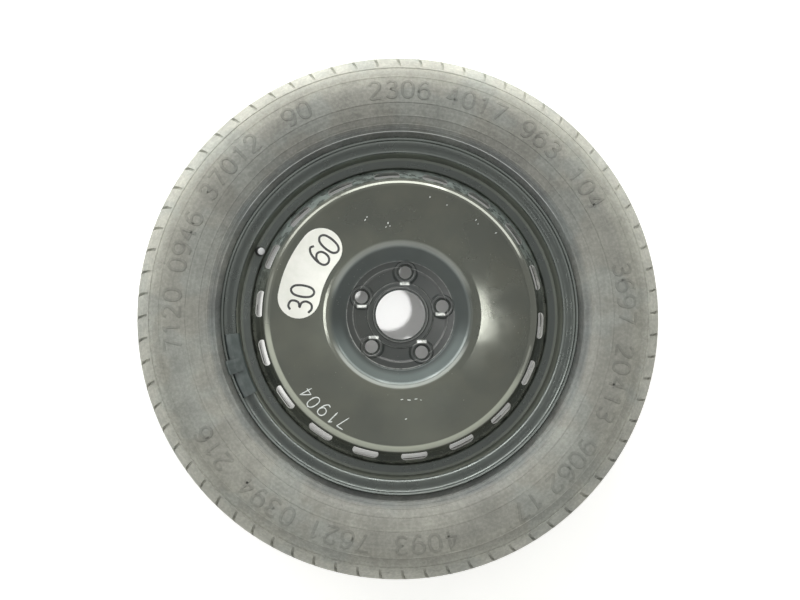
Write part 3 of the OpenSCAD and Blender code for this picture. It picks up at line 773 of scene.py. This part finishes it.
def numeral(text, centre, facing, height, width, space, lean=0.0, jitter=0.0):
    """Strokes of a number whose digits stand up along facing, an angle, at centre in metres."""
    up = np.array([math.cos(facing), math.sin(facing)])
    right = np.array([up[1], -up[0]])
    span = len(text) * width + (len(text) - 1) * space
    lines = []
    for k, digit in enumerate(text):
        shift = np.array([random.uniform(-1, 1), random.uniform(-1, 1)]) * jitter
        for fine in strokes(digit):
            pts = []
            for u, v in fine:
                x = -span / 2 + k * (width + space) + u * width + lean * v * height + shift[0]
                y = (v - 0.5) * height + shift[1]
                pts.append(np.asarray(centre) + x * right + y * up)
            lines.append(np.array(pts))
    return lines


def polar(r, degrees):
    a = math.radians(degrees)
    return np.array([r * math.cos(a), r * math.sin(a)]) * MM


# How far all marks lie over their node, in metres
LIFT = 0.00002
# The label's two numbers: their radius in mm, and places in degrees
LABEL_R = 131.5
LABEL_NUMBERS = (("60", 140.0), ("30", 171.0))
random.seed(3)
digits = []
for text, place in LABEL_NUMBERS:
    digits += numeral(text, polar(LABEL_R, place), math.radians(place), 0.0305, 0.0148, 0.005)
ribbon(digits, 0.003, LABEL, LIFT, 0.00008, "label_numbers", INK)

# The number written by hand: its radius in mm, its first place and its step in degrees
SCRAWL, SCRAWL_R, SCRAWL_START, SCRAWL_STEP = "71904", 159, 242.5, 5.6
scrawl = []
for k, digit in enumerate(SCRAWL):
    place = SCRAWL_START - SCRAWL_STEP * k
    centre = polar(SCRAWL_R + 1.5 * (k % 2), place)
    scrawl += numeral(digit, centre, math.radians(place - 5), 0.0175, 0.0098, 0, 0.12, 0.0008)
ribbon(scrawl, 0.0014, DISC, LIFT, 0.00006, "marker_number", MARKER, 0.25)

# Small scratches and specks in the paint, where the photograph shows them:
# pixels u and v, length in mm, and turn in degrees
SCRATCHES = [
    (402, 399.5, 3.5, 12), (409, 400, 5.0, -4), (416, 399, 4.0, 6), (421, 400, 2.5, -10),
    (406, 419, 3.0, 25), (365, 220, 3.0, 60), (367, 217, 1.8, 20), (388, 223, 3.0, 80),
    (390, 226, 1.6, 10), (386, 227, 1.6, 50), (476, 220, 2.6, 35), (478, 224, 1.6, 70),
    (496, 233, 2.8, 20), (447, 205, 1.8, 15), (430, 197, 2.0, 70),
]
scratches = []
for u, v, length, turn in SCRATCHES:
    middle = seen_at(DISC, u, v)
    a = math.radians(turn)
    half = np.array([math.cos(a), math.sin(a)]) * length / 2 * MM
    scratches.append(np.array([middle - half, middle, middle + half]))
ribbon(scratches, 0.0011, DISC, LIFT, 0.00005, "paint_scratches", MARKER, 0.4)


# The core's spring, which grows shorter towards its foot as the pin is pressed: its foot, its length along
# the press, and a mesh of its own

press = next(joint for joint in frame["joints"] if joint["name"] == "pin_press")
inward = Vector(press["axis"])
spring = nodes["core_spring"]
foot = max((v.co for v in spring.data.vertices), key=inward.dot).copy()
length = inward.dot(foot) - min(inward.dot(v.co) for v in spring.data.vertices)
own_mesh(spring)


# Stage and light

def floor_material():
    m = Nodes("studio_floor", (0.82, 0.82, 0.81), 0.9)
    path = m.add("ShaderNodeLightPath").outputs
    mirrored = m.maths("MAXIMUM", path["Is Glossy Ray"], path["Is Transmission Ray"])
    seen = m.maths("MAXIMUM", path["Is Camera Ray"], mirrored)
    # Painted shadow: its own white is weaker under the hub and under the rim.
    # Painted light and shade round the ring behind the vents: brighter across the middle of the picture,
    # weaker at top and bottom
    r = m.radius()
    _, y, _ = m.position()
    hub = m.ramp(r, 0.1, 0.16, 0.44, 0.0)
    rim = m.times(m.band(r, 0.2048, 0.29, 0.003), 0.3)
    shares = m.maths("SUBTRACT", m.ramp(y, 0.02, 0.12, 0.3, -0.1), m.ramp(y, -0.14, -0.1, 0.42, 0.0))
    ring = m.times(m.band(r, 0.16, 0.2048, 0.002), shares)
    far = m.ramp(r, 0.6, 2.5, 0.0, 0.46)
    level = m.plus(m.maths("SUBTRACT", 0.54, m.plus(hub, rim)), ring, far)
    glow = m.add("ShaderNodeEmission")
    glow.inputs["Color"].default_value = (1, 1, 0.96, 1)
    m.join(m.times(seen, level), glow.inputs["Strength"])
    both = m.add("ShaderNodeAddShader")
    m.join(m.shader.outputs["BSDF"], both.inputs[0])
    m.join(glow.outputs["Emission"], both.inputs[1])
    m.join(both.outputs["Shader"], m.tree.nodes["Material Output"].inputs["Surface"])
    return m.mat


def stage_panel(name, corners, material):
    """One flat face that is part of the stage."""
    mesh = bpy.data.meshes.new(name)
    mesh.from_pydata(corners, [], [tuple(range(len(corners)))])
    mesh.materials.append(material)
    panel = bpy.data.objects.new(name, mesh)
    scene.collection.objects.link(panel)


HALF_FLOOR = 12
square = [(HALF_FLOOR * x, HALF_FLOOR * y, 0) for x, y in ((-1, -1), (1, -1), (1, 1), (-1, 1))]
stage_panel("floor", square, floor_material())

# A grey ceiling panel over the lamps, which the flat parts of the wheel mirror
CEILING_R, CEILING_Z, CEILING_GREY = 1.5, 3.1, 0.55
grey = Nodes("ceiling_grey", (0.3, 0.3, 0.3), 1.0)
grey.shader.inputs["Emission Color"].default_value = (1, 1, 1, 1)
grey.shader.inputs["Emission Strength"].default_value = CEILING_GREY
turns = np.radians(np.arange(0, 360, 6))
rim_line = [(CEILING_R * math.cos(a), CEILING_R * math.sin(a), CEILING_Z) for a in turns]
stage_panel("ceiling", rim_line, grey.mat)

WORLD_WHITE = (1, 1, 0.985, 1)
WORLD_LIGHT = 0.06


def build_world():
    """A white world for the camera and for gloss, which lights the object only a little."""
    world = bpy.data.worlds.new("studio")
    world.use_nodes = True
    scene.world = world
    tree = world.node_tree
    light, white = tree.nodes["Background"], tree.nodes.new("ShaderNodeBackground")
    for node, strength in ((light, WORLD_LIGHT), (white, 1.0)):
        node.inputs["Color"].default_value = WORLD_WHITE
        node.inputs["Strength"].default_value = strength
    path = tree.nodes.new("ShaderNodeLightPath")
    either = tree.nodes.new("ShaderNodeMath")
    either.operation = "MAXIMUM"
    tree.links.new(path.outputs["Is Camera Ray"], either.inputs[0])
    tree.links.new(path.outputs["Is Glossy Ray"], either.inputs[1])
    blend = tree.nodes.new("ShaderNodeMixShader")
    tree.links.new(either.outputs["Value"], blend.inputs["Fac"])
    tree.links.new(light.outputs["Background"], blend.inputs[1])
    tree.links.new(white.outputs["Background"], blend.inputs[2])
    tree.links.new(blend.outputs["Shader"], tree.nodes["World Output"].inputs["Surface"])


build_world()


def soft_light(name, place, target, size, radiance):
    """An area light of that size in metres whose face has that brightness, 1 being white."""
    data = bpy.data.lights.new(name, "AREA")
    data.shape = "RECTANGLE"
    data.size, data.size_y = size
    data.energy = radiance * size[0] * size[1] * math.pi
    lamp = bpy.data.objects.new(name, data)
    lamp.location = place
    lamp.rotation_euler = (Vector(target) - Vector(place)).to_track_quat("-Z", "Y").to_euler()
    scene.collection.objects.link(lamp)


# The middle of the wheel's face, which the lamps look at
FACE = (0, 0, 0.1)


def around(azimuth, tilt, distance):
    """A place off FACE at that azimuth, clockwise from the picture's top, and tilt from the vertical."""
    a, t = math.radians(azimuth), math.radians(tilt)
    out = distance * math.sin(t)
    return (out * math.sin(a), out * math.cos(a), FACE[2] + distance * math.cos(t))


for name, azimuth, radiance in (("key_left", -46, 8.0), ("key_middle", -4, 8.7), ("key_right", 38, 6.0)):
    soft_light(name, around(azimuth, 60, 2.2), FACE, (1.7, 0.5), radiance)
for azimuth in (125, 172, 219, 266):
    soft_light("fill_%d" % azimuth, around(azimuth, 57, 2.5), FACE, (1.75, 1.1), 1.2)
# A small lamp makes the highlight right of the hub
soft_light("lamp_right", (0.385, 0.061, 2.6), (0.12, 0, 0.1), (0.2, 0.15), 13)

# A narrow lamp that shines down through the bore, onto the floor behind it
bore_data = bpy.data.lights.new("through_bore", "SPOT")
bore_data.energy = 430
bore_data.spot_size = math.radians(3.6)
bore_data.spot_blend = 0.5
bore_data.shadow_soft_size = 0.1
bore_lamp = bpy.data.objects.new("through_bore", bore_data)
bore_lamp.location = (0.26, -0.26, 2.6)
bore_lamp.rotation_euler = (Vector((0, 0, 0.12)) - bore_lamp.location).to_track_quat("-Z", "Y").to_euler()
bore_lamp.visible_glossy = False
scene.collection.objects.link(bore_lamp)

scene.view_settings.view_transform = "Standard"
